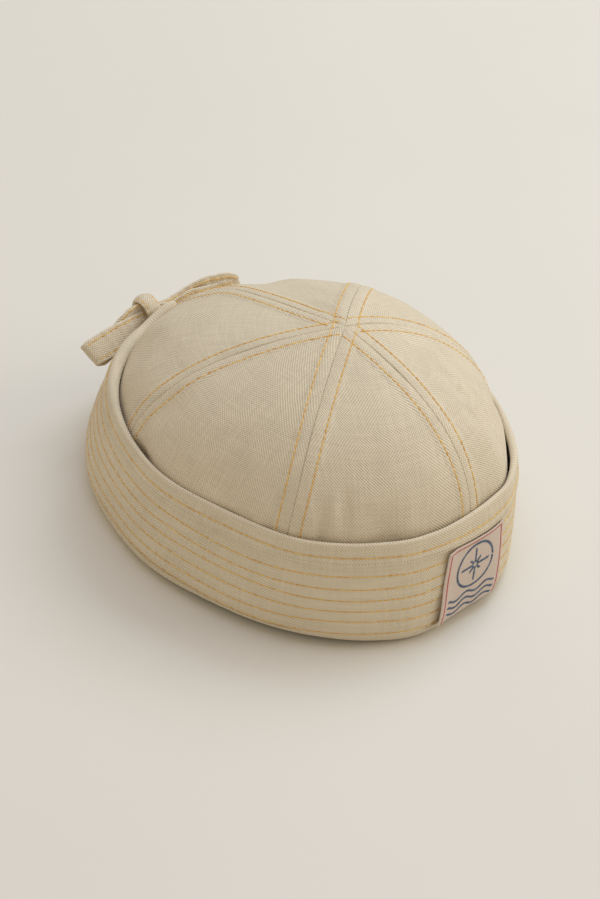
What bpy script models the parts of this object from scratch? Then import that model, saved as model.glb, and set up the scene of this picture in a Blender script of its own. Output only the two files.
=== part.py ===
"""A soft six-panel sailor cap with a turned-up cuff, a woven front label and a strap bow at the back.

Metres, +Z up. The cap lies on the plane z = 0 on the fold of its cuff. The front, with the label, faces -Y,
and the bow is at the back, +Y. Angles run round the cap from the front, positive towards +X.
"""
import math

import bpy
from mathutils import Vector

MM = 0.001

# The cuff's widest line, just above the bottom fold, is an oval centred on the origin.
BASE_HALF_LENGTH = 109.0 * MM
BASE_HALF_WIDTH = 83.0 * MM
BULGE_HEIGHT = 14.0 * MM

# The rim, measured on the hem's outer face, is an oval set forwards, because the bow draws the back in.
RIM_HALF_WIDTH = 79.4 * MM
RIM_FRONT_REACH = 95.0 * MM
RIM_BACK_REACH = 99.5 * MM
RIM_CENTRE_Y = -10.0 * MM
RIM_HEIGHT = 54.0 * MM
RIM_SIDE_TILT = -5.4 * MM
RIM_END_LIFT = 1.6 * MM
RIM_TWIST = 1.0 * MM

# The cuff's cloth, its hem and its slit.
CUFF_THICKNESS = 1.6 * MM
CUFF_COLUMNS = 72
HEM_STEP = 0.7 * MM
HEM_EASE = 4.0 * MM
WALL_SWELL = 1.2 * MM
SLIT_ANGLE = math.radians(173.5)
SLIT_DEPTH = 31.0 * MM
SLIT_WIDTH = 1.6 * MM

# Across the bottom fold, from the top of the inner leg, under the cap and up to the widest line.
FOLD_ROWS = (
    # inset mm, height mm
    (6.5, 12.0),
    (6.6, 7.0),
    (6.4, 3.0),
    (6.1, 1.0),
    (5.7, 0.0),
    (4.6, 0.0),
    (3.0, 1.0),
    (1.6, 3.5),
    (0.6, 7.5),
    (0.0, 14.0),
)

# Up the cuff's wall, as depths below the rim on the hem and as shares of the height under it.
WALL_SHARES = (0.34, 0.67)
HEM_ROWS = (
    # depth below the rim mm, outward step as a share of HEM_STEP
    (11.2, 0.0),
    (10.0, 1.0),
    (5.5, 1.0),
    (1.2, 0.9),
    (0.0, 0.1),
)

# The crown: its top point, and the cubic curve that each seam follows from there to the dome's foot.
APEX_X = 3.4 * MM
APEX_Y = -24.6 * MM
APEX_HEIGHT = 109.0 * MM
CROWN_THICKNESS = 1.3 * MM
PANEL_COLUMNS = 10
PANEL_ROWS = 18
PANEL_GAP = 0.4 * MM
TOP_HOLE_SHARE = 0.012
DOME_PART = 0.8
DOME_FOOT_DEPTH = 12.0 * MM
DOME_FOOT_INSET = 3.6 * MM
CROWN_EDGE_HEIGHT = 13.0 * MM
CROWN_EDGE_INSET = 5.1 * MM
MERIDIANS = (
    # angle deg, run of the flat top (share of radius), its slope, rise of the wall (share of height)
    (0.0, 0.74, 0.11, 0.56),
    (64.0, 0.42, 0.10, 0.59),
    (118.0, 0.38, 0.11, 0.71),
    (175.0, 0.56, 0.24, 0.72),
    (242.0, 0.50, 0.19, 0.62),
    (301.0, 0.60, 0.15, 0.60),
    (360.0, 0.74, 0.11, 0.56),
)
CROWN_DENTS = (
    # angle deg, share down the panel, half width deg, half height share, depth mm
    (-150.0, 0.60, 16.0, 0.16, 3.0),
    (-150.0, 0.73, 55.0, 0.20, 2.8),
    (-178.0, 0.52, 24.0, 0.22, 3.2),
    (-108.0, 0.72, 8.0, 0.08, 4.2),
    (-113.0, 0.54, 9.0, 0.12, 1.6),
    (-84.0, 0.73, 7.0, 0.07, 2.4),
    (-74.0, 0.71, 6.0, 0.08, 3.4),
    (-67.0, 0.68, 4.5, 0.10, -1.1),
    (-52.5, 0.66, 3.0, 0.14, -0.8),
    (-48.5, 0.68, 2.4, 0.12, 1.3),
    (-45.5, 0.62, 2.6, 0.12, -0.7),
    (-42.0, 0.62, 2.6, 0.13, 0.9),
    (-30.0, 0.70, 9.0, 0.14, 1.8),
    (40.0, 0.73, 28.0, 0.18, 1.2),
    (28.0, 0.31, 5.0, 0.06, 1.3),
    (23.0, 0.36, 4.5, 0.06, 1.3),
    (18.0, 0.42, 4.5, 0.07, 1.2),
    (28.0, 0.54, 11.0, 0.13, 1.6),
    (48.0, 0.64, 8.0, 0.12, 2.2),
    (157.0, 0.54, 17.0, 0.36, 5.0),
    (140.0, 0.45, 30.0, 0.30, 1.6),
)
CUFF_WAVES = (
    # angle deg, half width deg, outward move of the rim mm, outward move of the fold mm, lift of the fold mm
    (-4.0, 17.0, -0.4, -2.6, 0.0),
    (-24.0, 9.0, 0.5, 0.6, 0.0),
    (18.0, 9.0, 0.6, 0.4, 0.0),
    (6.0, 24.0, 0.0, -0.6, 2.4),
    (4.0, 22.0, -1.2, 0.0, 0.0),
    (52.0, 28.0, -1.8, 0.0, 0.0),
    (-77.0, 27.0, -3.5, -1.2, 0.0),
    (-120.0, 45.0, -0.9, 0.0, 0.0),
    (-62.0, 62.0, 0.0, 1.9, 3.6),
    (-38.0, 28.0, 0.0, 1.0, 0.0),
    (34.0, 28.0, 0.0, -3.0, 0.0),
    (160.0, 16.0, 0.8, 0.3, 0.0),
)

# The label: a stiff woven patch on the front, leaning a little.
LABEL_WIDTH = 35.8 * MM
LABEL_TOP = 42.5 * MM
LABEL_BOTTOM = 3.0 * MM
LABEL_TOP_X = 0.8 * MM
LABEL_BOTTOM_X = -4.8 * MM
LABEL_THICKNESS = 0.8 * MM
LABEL_LIFT = 0.5 * MM

# The bow: a strap sewn flat, tied over the slit.
STRAP_WIDTH = 13.0 * MM
STRAP_THICKNESS = 1.3 * MM
KNOT_CENTRE = Vector((2.0, 100.8, 52.5)) * MM
KNOT_SIZE = Vector((13.5, 8.0, 13.0)) * MM
BOW_GAP = 0.35 * MM
LOOP_SHARES = (0.04, 0.96)
LOOPS = (
    # name, tip x, y and z mm, opening between the layers mm, lean of the strap at the tip deg
    ("bow_loop_left", (-33.5, 100.5, 43.0), 5.5, 45.0),
    ("bow_loop_right", (46.0, 90.0, 47.0), 5.5, 12.0),
)
LOOP_NARROWING = 0.4
TAILS = (
    # name, start x, end x, end height mm
    ("bow_tail_left", -1.6, -13.0, 11.0),
    ("bow_tail_right", 7.6, 17.0, 14.0),
)

COTTON = (0.61, 0.52, 0.37)
LABEL_CLOTH = (0.60, 0.50, 0.43)


def bell(offset):
    """A smooth hump: 1 at 0, level at both ends, and 0 from 1 outwards."""
    reach = min(abs(offset), 1.0)
    return 0.5 + 0.5 * math.cos(math.pi * reach)


def angle_between(angle, centre):
    """The signed turn from centre to angle, within half a turn."""
    return math.remainder(angle - centre, 2.0 * math.pi)


def waves(angle, column):
    """Sum of the cuff's waves at an angle: column 2 moves the rim out, 3 moves the fold out, 4 lifts it."""
    total = 0.0
    for row in CUFF_WAVES:
        offset = angle_between(angle, math.radians(row[0])) / math.radians(row[1])
        total += bell(offset) * row[column] * MM
    return total


def rim_height(angle):
    """Height of the rim's top edge."""
    return (RIM_HEIGHT + RIM_SIDE_TILT * math.sin(angle) + RIM_END_LIFT * math.cos(2.0 * angle)
            + RIM_TWIST * math.sin(2.0 * angle))


def base_point(angle, inset):
    """A point of the widest oval, moved in by inset."""
    grow = waves(angle, 3) - inset
    x = (BASE_HALF_WIDTH + grow) * math.sin(angle)
    y = -(BASE_HALF_LENGTH + grow) * math.cos(angle)
    return Vector((x, y, 0.0))


def rim_point(angle, inset):
    """A point of the rim's oval, moved in by inset."""
    grow = waves(angle, 2) - inset
    reach = RIM_FRONT_REACH if math.cos(angle) > 0.0 else RIM_BACK_REACH
    x = (RIM_HALF_WIDTH + grow) * math.sin(angle)
    y = RIM_CENTRE_Y - (reach + grow) * math.cos(angle)
    return Vector((x, y, 0.0))


def wall_point(angle, height, inset=0.0):
    """A point on the cuff's outer face, above its widest line."""
    share = (height - BULGE_HEIGHT) / (rim_height(angle) - BULGE_HEIGHT)
    swell = WALL_SWELL * 4.0 * share * (1.0 - share)
    point = base_point(angle, inset - swell).lerp(rim_point(angle, inset - swell), share)
    point.z = height
    return point


def cuff_face(angle, height, lift):
    """A point on the cuff's outer face at any height, lifted off it by lift."""
    if height >= BULGE_HEIGHT:
        return wall_point(angle, height, -lift)
    rows = FOLD_ROWS[5:]
    for (low_inset, low), (high_inset, high) in zip(rows, rows[1:]):
        if height <= high * MM:
            share = (height - low * MM) / ((high - low) * MM)
            inset = (low_inset + (high_inset - low_inset) * share) * MM
            break
    point = base_point(angle, inset - lift)
    point.z = height
    return point


def cuff_profile(angle):
    """The cuff's outer face at one angle, from the inner leg round the fold and up to the rim."""
    profile = []
    lift = waves(angle, 4)
    for inset, height in FOLD_ROWS:
        point = base_point(angle, inset * MM)
        point.z = height * MM + lift * (1.0 - height * MM / BULGE_HEIGHT)
        profile.append(point)
    hem_foot = rim_height(angle) - HEM_ROWS[0][0] * MM
    for share in WALL_SHARES:
        profile.append(wall_point(angle, BULGE_HEIGHT + share * (hem_foot - BULGE_HEIGHT)))
    for depth, step in HEM_ROWS:
        profile.append(wall_point(angle, rim_height(angle) - depth * MM, -step * HEM_STEP))
    return profile


def meridian(angle):
    """Run, slope and rise of the crown's curve at an angle, eased between the table's rows."""
    turn = math.degrees(angle) % 360.0
    for low, high in zip(MERIDIANS, MERIDIANS[1:]):
        if turn <= high[0]:
            ease = 0.5 - 0.5 * math.cos(math.pi * (turn - low[0]) / (high[0] - low[0]))
            return [a + (b - a) * ease for a, b in zip(low[1:], high[1:])]


def crown_point(angle, share):
    """A point on the crown's outer face: share is 0 at the top and 1 at its sewn edge."""
    apex = Vector((APEX_X, APEX_Y, APEX_HEIGHT))
    foot_height = rim_height(angle) - DOME_FOOT_DEPTH
    foot = wall_point(angle, foot_height, DOME_FOOT_INSET)
    edge = base_point(angle, CROWN_EDGE_INSET)
    edge.z = CROWN_EDGE_HEIGHT
    if share > DOME_PART:
        point = foot.lerp(edge, (share - DOME_PART) / (1.0 - DOME_PART))
    else:
        run, slope, rise = meridian(angle)
        level = Vector((foot.x, foot.y, APEX_HEIGHT)) - apex
        top_handle = apex + level * run - Vector((0.0, 0.0, slope * run * level.length))
        lean = (foot - edge) / (foot.z - edge.z)
        foot_handle = foot + lean * rise * (APEX_HEIGHT - foot_height)
        t = share / DOME_PART
        point = (apex * (1.0 - t) ** 3 + top_handle * 3.0 * t * (1.0 - t) ** 2
                 + foot_handle * 3.0 * t * t * (1.0 - t) + foot * t ** 3)
    outward = Vector((point.x - APEX_X, point.y - APEX_Y, 0.35 * (point.z - CROWN_EDGE_HEIGHT)))
    return point - outward.normalized() * crown_dent(angle, share)


def crown_dent(angle, share):
    """How far the crown is pushed in at a point, from the table of dents."""
    depth = 0.0
    for centre, middle, half_width, half_height, dent in CROWN_DENTS:
        across = angle_between(angle, math.radians(centre)) / math.radians(half_width)
        depth += bell(across) * bell((share - middle) / half_height) * dent * MM
    return depth


def cloth_material(name, colour):
    """A matt woven cloth."""
    material = bpy.data.materials.new(name)
    material.use_nodes = True
    shader = material.node_tree.nodes["Principled BSDF"]
    shader.inputs["Base Color"].default_value = (*colour, 1.0)
    shader.inputs["Roughness"].default_value = 0.9
    shader.inputs["Metallic"].default_value = 0.0
    return material


def cloth_sheet(name, columns, rows, place, thickness, material):
    """A grid laid on a surface by place(column share, row share), with a wall added behind its face."""
    bpy.ops.mesh.primitive_grid_add(x_subdivisions=columns, y_subdivisions=rows, size=2.0)
    sheet = bpy.context.object
    sheet.name = name
    sheet.data.name = name
    for vertex in sheet.data.vertices:
        vertex.co = place((vertex.co.x + 1.0) / 2.0, (vertex.co.y + 1.0) / 2.0)
    sheet.data.materials.append(material)
    wall = sheet.modifiers.new("cloth thickness", 'SOLIDIFY')
    wall.thickness = thickness
    wall.offset = -1.0
    sheet.data.shade_smooth()
    return sheet


def make_crown(material):
    """Six gores from the top of the crown down to the cuff's inner leg."""
    seams = [math.radians(row[0]) for row in MERIDIANS]
    for number, (first, last) in enumerate(zip(seams, seams[1:])):

        def place(across, up, first=first, last=last):
            share = 1.0 - up * (1.0 - TOP_HOLE_SHARE)
            angle = first + (last - first) * across
            radius = (crown_point(angle, share) - Vector((APEX_X, APEX_Y, 0.0))).xy.length
            inward = PANEL_GAP / 2.0 / radius
            return crown_point(angle + inward * (1.0 - 2.0 * across), share)

        cloth_sheet(f"crown_panel_{number + 1}", PANEL_COLUMNS, PANEL_ROWS, place, CROWN_THICKNESS, material)


def make_cuff(material):
    """The turned-up band: one strip that starts and ends at the slit and is closed below it."""
    rows = len(FOLD_ROWS) + len(WALL_SHARES) + len(HEM_ROWS) - 1

    def place(across, up):
        angle = SLIT_ANGLE + 2.0 * math.pi * across
        point = cuff_profile(angle)[round(up * rows)]
        slit_top = rim_height(angle)
        opening = max(0.0, 1.0 - (slit_top - point.z) / SLIT_DEPTH)
        inner_leg = up * rows < len(FOLD_ROWS) - 1
        if inner_leg or across not in (0.0, 1.0):
            return point
        side = 1.0 if across == 0.0 else -1.0
        return point + Vector((-side * SLIT_WIDTH / 2.0 * opening, 0.0, 0.0))

    cuff = cloth_sheet("cuff", CUFF_COLUMNS, rows, place, CUFF_THICKNESS, material)
    close = cuff.modifiers.new("closed under the slit", 'WELD')
    close.merge_threshold = 0.00005
    cuff.modifiers.move(1, 0)


def make_label(material):
    """The woven patch, following the cuff's face and its fold."""
    def place(across, up):
        height = LABEL_BOTTOM + (LABEL_TOP - LABEL_BOTTOM) * up
        middle = LABEL_BOTTOM_X + (LABEL_TOP_X - LABEL_BOTTOM_X) * up
        x = middle + LABEL_WIDTH * (across - 0.5)
        angle = math.asin(x / cuff_face(math.pi / 2.0, height, 0.0).x)
        return cuff_face(angle, height, LABEL_LIFT + LABEL_THICKNESS)

    cloth_sheet("label", 8, 8, place, LABEL_THICKNESS, material)


def make_knot(material):
    """The wrapped middle of the bow: a soft block from a coarse cage."""
    bpy.ops.mesh.primitive_cube_add(size=1.0)
    knot = bpy.context.object
    knot.name = "bow_knot"
    knot.data.name = "bow_knot"
    for vertex in knot.data.vertices:
        vertex.co = Vector([KNOT_CENTRE[i] + 1.15 * vertex.co[i] * KNOT_SIZE[i] for i in range(3)])
    knot.data.materials.append(material)
    soft = knot.modifiers.new("soft form", 'SUBSURF')
    soft.levels = 3
    soft.render_levels = 3
    knot.data.shade_smooth()


def behind_cuff(x, height, lift):
    """A point behind the cuff, lifted off its outer face, which is taken straight up above the rim."""
    half_width = cuff_face(math.pi / 2.0, BULGE_HEIGHT, 0.0).x
    angle = math.pi - math.asin(x / half_width)
    hem_foot = rim_height(angle) - HEM_ROWS[0][0] * MM
    on_hem = min(max((height - hem_foot) / HEM_EASE + 1.0, 0.0), 1.0)
    point = cuff_face(angle, min(height, rim_height(angle)), on_hem * HEM_STEP + lift)
    point.z = height
    return point


def make_loop(name, tip, opening, lean, material):
    """One loop of the bow: the strap goes out from the knot, turns over at the tip and comes back."""
    tip = Vector(tip) * MM
    side = 1.0 if tip.x > KNOT_CENTRE.x else -1.0
    root = KNOT_CENTRE + Vector((side * (KNOT_SIZE.x / 2.0 + BOW_GAP), 0.0, 0.0))
    start, end = LOOP_SHARES

    def place(across, up):
        turn = 2.0 * math.pi * (start + (end - start) * across)
        run = 0.5 - 0.5 * math.cos(turn)
        tilt = math.radians(lean) * run
        upright = Vector((0.0, math.sin(tilt), math.cos(tilt)))
        outward = Vector((0.0, math.cos(tilt), -math.sin(tilt)))
        half = STRAP_WIDTH / 2.0 * (1.0 - LOOP_NARROWING * bell(2.2 * run))
        gape = side * math.sin(turn) * opening * MM / 2.0
        return root.lerp(tip, run) + outward * gape + upright * half * (2.0 * up - 1.0)

    cloth_sheet(name, 20, 2, place, STRAP_THICKNESS, material)


def make_tail(name, start_x, end_x, end_height, material):
    """A free end of the strap, hanging from the knot against the back of the cuff."""
    top = KNOT_CENTRE.z - KNOT_SIZE.z / 2.0 - BOW_GAP

    def place(across, up):
        height = end_height * MM + (top - end_height * MM) * up
        middle = (end_x + (start_x - end_x) * up) * MM
        half = STRAP_WIDTH * (0.5 - 0.2 * up ** 3)
        x = middle + half * (1.0 - 2.0 * across)
        return behind_cuff(x, height, BOW_GAP + STRAP_THICKNESS)

    cloth_sheet(name, 3, 10, place, STRAP_THICKNESS, material)


def main():
    for item in list(bpy.data.objects):
        bpy.data.objects.remove(item, do_unlink=True)
    cotton = cloth_material("cotton twill", COTTON)
    woven = cloth_material("woven label", LABEL_CLOTH)
    make_crown(cotton)
    make_cuff(cotton)
    make_label(woven)
    make_knot(cotton)
    for name, tip, opening, lean in LOOPS:
        make_loop(name, tip, opening, lean, cotton)
    for name, start_x, end_x, end_height in TAILS:
        make_tail(name, start_x, end_x, end_height, cotton)
    cap = bpy.data.collections.new("sailor cap")
    bpy.context.scene.collection.children.link(cap)
    for item in list(bpy.data.objects):
        for group in list(item.users_collection):
            group.objects.unlink(item)
        cap.objects.link(item)


main()
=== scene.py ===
"""The looks of a soft six-panel sailor cap: ecru cotton twill, golden topstitching, a woven label and a bow.

Metres, +Z up. The front, with the label, faces -Y and the bow is at the back, +Y. Angles run round the cap
from the front, positive towards +X.
"""
import math

import bpy
import numpy as np
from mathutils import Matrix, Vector
from mathutils.bvhtree import BVHTree


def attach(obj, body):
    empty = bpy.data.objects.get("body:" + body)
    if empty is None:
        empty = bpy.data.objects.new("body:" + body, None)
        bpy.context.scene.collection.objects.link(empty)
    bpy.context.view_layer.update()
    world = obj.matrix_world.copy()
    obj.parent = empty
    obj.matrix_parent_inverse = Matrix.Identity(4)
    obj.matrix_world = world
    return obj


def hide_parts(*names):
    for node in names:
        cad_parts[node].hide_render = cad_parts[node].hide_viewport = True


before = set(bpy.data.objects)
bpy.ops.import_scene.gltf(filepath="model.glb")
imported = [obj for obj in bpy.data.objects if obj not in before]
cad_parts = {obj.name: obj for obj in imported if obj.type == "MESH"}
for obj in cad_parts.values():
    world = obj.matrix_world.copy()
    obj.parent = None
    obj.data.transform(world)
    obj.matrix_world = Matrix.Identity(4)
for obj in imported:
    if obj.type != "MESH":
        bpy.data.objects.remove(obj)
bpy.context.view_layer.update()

MM = 0.001

# The cap's form, as the solids have it: the cuff's widest line and its rim are two ovals.
BASE_HALF_LENGTH = 109.0 * MM
BASE_HALF_WIDTH = 83.0 * MM
BULGE_HEIGHT = 14.0 * MM
RIM_HALF_WIDTH = 79.4 * MM
RIM_FRONT_REACH = 95.0 * MM
RIM_BACK_REACH = 99.5 * MM
RIM_CENTRE_Y = -10.0 * MM
RIM_HEIGHT = 54.0 * MM
RIM_SIDE_TILT = -5.4 * MM
RIM_END_LIFT = 1.6 * MM
RIM_TWIST = 1.0 * MM
WALL_SWELL = 1.2 * MM
CUFF_WAVES = (
    # angle deg, half width deg, outward move of the rim mm, outward move of the fold mm, lift of the fold mm
    (-4.0, 17.0, -0.4, -2.6, 0.0),
    (-24.0, 9.0, 0.5, 0.6, 0.0),
    (18.0, 9.0, 0.6, 0.4, 0.0),
    (6.0, 24.0, 0.0, -0.6, 2.4),
    (4.0, 22.0, -1.2, 0.0, 0.0),
    (52.0, 28.0, -1.8, 0.0, 0.0),
    (-77.0, 27.0, -3.5, -1.2, 0.0),
    (-120.0, 45.0, -0.9, 0.0, 0.0),
    (-62.0, 62.0, 0.0, 1.9, 3.6),
    (-38.0, 28.0, 0.0, 1.0, 0.0),
    (34.0, 28.0, 0.0, -3.0, 0.0),
    (160.0, 16.0, 0.8, 0.3, 0.0),
)
RIM_ROLLS = (
    # angle deg, half width deg, extra thickness of the cuff's top edge mm
    (-165.0, 62.0, 4.2),
    (40.0, 30.0, 1.3),
)
SEWN_SAGS = (
    # angle deg, half width deg, depth mm and half depth mm of the sewn rows that run low, by how much mm
    (8.0, 30.0, 9.5, 8.5, 2.3),
    (-72.0, 22.0, 19.0, 10.0, 1.8),
    (-38.0, 32.0, 43.0, 14.0, -2.4),
)
APEX = np.array((3.4, -24.6, 109.0)) * MM
DOME_PART = 0.8
DOME_FOOT_DEPTH = 12.0 * MM
DOME_FOOT_INSET = 3.6 * MM
CROWN_EDGE_HEIGHT = 13.0 * MM
CROWN_EDGE_INSET = 5.1 * MM
MERIDIANS = (
    # a seam's angle deg, run of the flat top (share of radius), its slope, rise of the wall (share of height)
    (0.0, 0.74, 0.11, 0.56),
    (64.0, 0.42, 0.10, 0.59),
    (118.0, 0.38, 0.11, 0.71),
    (175.0, 0.56, 0.24, 0.72),
    (242.0, 0.50, 0.19, 0.62),
    (301.0, 0.60, 0.15, 0.60),
    (360.0, 0.74, 0.11, 0.56),
)
CROWN_DENTS = (
    # angle deg, share down the panel, half width deg, half height share, depth mm, negative for a swelling
    (-150.0, 0.60, 16.0, 0.16, 3.0),
    (-150.0, 0.73, 50.0, 0.20, 2.8),
    (-178.0, 0.52, 24.0, 0.22, 3.2),
    (-110.0, 0.755, 7.0, 0.055, 2.0),
    (-113.0, 0.54, 9.0, 0.12, 1.6),
    (-76.0, 0.755, 6.0, 0.05, 1.4),
    (-84.0, 0.735, 30.0, 0.08, -1.3),
    (-67.0, 0.68, 4.5, 0.10, -1.1),
    (-52.5, 0.66, 3.0, 0.14, -0.8),
    (-48.5, 0.68, 2.4, 0.12, 1.3),
    (-45.5, 0.62, 2.6, 0.12, -0.7),
    (-42.0, 0.62, 2.6, 0.13, 0.9),
    (-30.0, 0.70, 9.0, 0.14, 1.8),
    (40.0, 0.73, 28.0, 0.18, 1.2),
    (28.0, 0.31, 5.0, 0.06, 1.3),
    (23.0, 0.36, 4.5, 0.06, 1.3),
    (18.0, 0.42, 4.5, 0.07, 1.2),
    (28.0, 0.54, 11.0, 0.13, 1.6),
    (48.0, 0.64, 8.0, 0.12, 2.2),
    (157.0, 0.54, 17.0, 0.36, 5.0),
    (140.0, 0.45, 30.0, 0.30, 1.6),
)

# The crown's cloth: every seam is pressed open and sewn down on both sides.
CROWN_THICKNESS = 1.0 * MM
CROWN_COLUMNS = 104
CROWN_ROWS = 132
SEAM_CROWDING = 0.8  # how much closer together the columns are at the seams
SEAM_ROLL = 0.4 * MM
SEAM_DEPTH = 0.42 * MM
ALLOWANCE_MARGIN = 1.45 * MM
ALLOWANCE_RAISE = 0.55 * MM

# The cuff's cloth: a turned hem, rows of quilting below it, and a slit at the back.
CUFF_THICKNESS = 1.4 * MM
CUFF_COLUMNS = 540
HEM_STEP = 0.85 * MM
HEM_ROLL = 420.0  # per metre: the edge rolls over with a radius of about 1.2 mm
HEM_PUCKER_ANGLE = math.radians(-62.0)
HEM_PUCKER_HALF_ANGLE = math.radians(62.0)
HEM_EDGE = 9.9 * MM
HEM_STITCH = 6.8 * MM
QUILTING_ROWS = tuple(depth * MM for depth in (16.6, 23.2, 29.2, 36.0, 42.9, 49.4))
FOLD_INSET = 4.6 * MM
FOLD_FLAT = 1.1 * MM
FLOOR_GAP = 0.1 * MM
INNER_LEG_BULGE = 0.9 * MM
INNER_LEG_HEIGHT = 12.0 * MM
RIM_END_RISE = 5.6 * MM
SLIT_ANGLE = math.radians(173.5)
SLIT_DEPTH = 31.0 * MM
SLIT_OVERLAP = math.radians(3.2)
SLIT_TUCK = 2.3 * MM

# The sewing thread.
STITCH_PITCH = 2.7 * MM
STITCH_LENGTH = 2.8 * MM
CROWN_THREAD_WIDTH = 0.6 * MM
CUFF_THREAD_WIDTH = 0.52 * MM
STITCH_DIP = 0.13 * MM
STITCH_UNEVEN = math.radians(4.0)


def bell(offset):
    """A smooth hump: 1 at 0, level at both ends, and 0 from 1 outwards."""
    return 0.5 + 0.5 * np.cos(np.pi * np.minimum(np.abs(offset), 1.0))


def ramp(value, low, high):
    """A smooth step from 0 at low to 1 at high."""
    share = np.clip((value - low) / (high - low), 0.0, 1.0)
    return share * share * (3.0 - 2.0 * share)


def angle_between(angle, centre):
    """The signed turn from centre to angle, within half a turn."""
    return np.remainder(angle - centre + np.pi, 2.0 * np.pi) - np.pi


def waves(angle, column):
    """Sum of the cuff's waves at an angle: column 2 moves the rim out, 3 moves the fold out, 4 lifts it."""
    total = np.zeros_like(angle)
    for row in CUFF_WAVES:
        total += bell(angle_between(angle, math.radians(row[0])) / math.radians(row[1])) * row[column] * MM
    return total


def swellings(table, angle):
    """Sum of the rows of a table of angle, half width and size, at an angle."""
    return sum(bell(angle_between(angle, math.radians(row[0])) / math.radians(row[1])) * row[-1] * MM
               for row in table)


def rim_height(angle):
    """Height of the rim's top edge."""
    return (RIM_HEIGHT + RIM_SIDE_TILT * np.sin(angle) + RIM_END_LIFT * np.cos(2.0 * angle)
            + RIM_TWIST * np.sin(2.0 * angle))


def base_point(angle, inset, height):
    """A point of the widest oval, moved in by inset."""
    grow = waves(angle, 3) - inset
    x = (BASE_HALF_WIDTH + grow) * np.sin(angle)
    y = -(BASE_HALF_LENGTH + grow) * np.cos(angle)
    return np.stack(np.broadcast_arrays(x, y, height), axis=-1)


def rim_point(angle, inset, height):
    """A point of the rim's oval, moved in by inset."""
    grow = waves(angle, 2) - inset
    reach = np.where(np.cos(angle) > 0.0, RIM_FRONT_REACH, RIM_BACK_REACH)
    x = (RIM_HALF_WIDTH + grow) * np.sin(angle)
    y = RIM_CENTRE_Y - (reach + grow) * np.cos(angle)
    return np.stack(np.broadcast_arrays(x, y, height), axis=-1)


def wall_point(angle, height, inset=0.0):
    """A point on the cuff's outer face, above its widest line."""
    share = (height - BULGE_HEIGHT) / (rim_height(angle) - BULGE_HEIGHT)
    swell = WALL_SWELL * 4.0 * share * (1.0 - share)
    low = base_point(angle, inset - swell, height)
    high = rim_point(angle, inset - swell, height)
    return low + (high - low) * share[..., None]


def meridian(angle):
    """Run, slope and rise of the crown's curve at an angle, eased between the table's rows."""
    table = np.array(MERIDIANS)
    turn = np.degrees(angle) % 360.0
    row = np.clip(np.searchsorted(table[:, 0], turn, side='left') - 1, 0, len(table) - 2)
    low, high = table[row], table[row + 1]
    ease = 0.5 - 0.5 * np.cos(np.pi * (turn - low[..., 0]) / (high[..., 0] - low[..., 0]))
    values = low[..., 1:] + (high[..., 1:] - low[..., 1:]) * ease[..., None]
    return values[..., 0], values[..., 1], values[..., 2]


def crown_dent(angle, share):
    """How far the crown is pushed in at a point, from the table of dents."""
    depth = np.zeros_like(angle)
    for centre, middle, half_width, half_height, dent in CROWN_DENTS:
        across = angle_between(angle, math.radians(centre)) / math.radians(half_width)
        depth += bell(across) * bell((share - middle) / half_height) * dent * MM
    return depth


def crown_point(angle, share):
    """A point on the crown's outer face: share is 0 at the top and 1 at its sewn edge."""
    angle, share = np.broadcast_arrays(np.asarray(angle, float), np.asarray(share, float))
    foot_height = rim_height(angle) - DOME_FOOT_DEPTH
    foot = wall_point(angle, foot_height, DOME_FOOT_INSET)
    edge = base_point(angle, CROWN_EDGE_INSET, CROWN_EDGE_HEIGHT)
    run, slope, rise = meridian(angle)
    level = (foot - APEX) * (1.0, 1.0, 0.0)
    top_handle = APEX + level * run[..., None]
    top_handle[..., 2] -= slope * run * np.linalg.norm(level, axis=-1)
    lean = (foot - edge) / (foot[..., 2:] - edge[..., 2:])
    foot_handle = foot + lean * (rise * (APEX[2] - foot_height))[..., None]
    t = np.minimum(share / DOME_PART, 1.0)[..., None]
    point = (APEX * (1.0 - t) ** 3 + top_handle * 3.0 * t * (1.0 - t) ** 2
             + foot_handle * 3.0 * t * t * (1.0 - t) + foot * t ** 3)
    below = np.clip((share - DOME_PART) / (1.0 - DOME_PART), 0.0, 1.0)[..., None]
    point = np.where(share[..., None] > DOME_PART, foot + (edge - foot) * below, point)
    outward = (point - (APEX[0], APEX[1], CROWN_EDGE_HEIGHT)) * (1.0, 1.0, 0.35)
    return point - unit(outward) * crown_dent(angle, share)[..., None]


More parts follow.
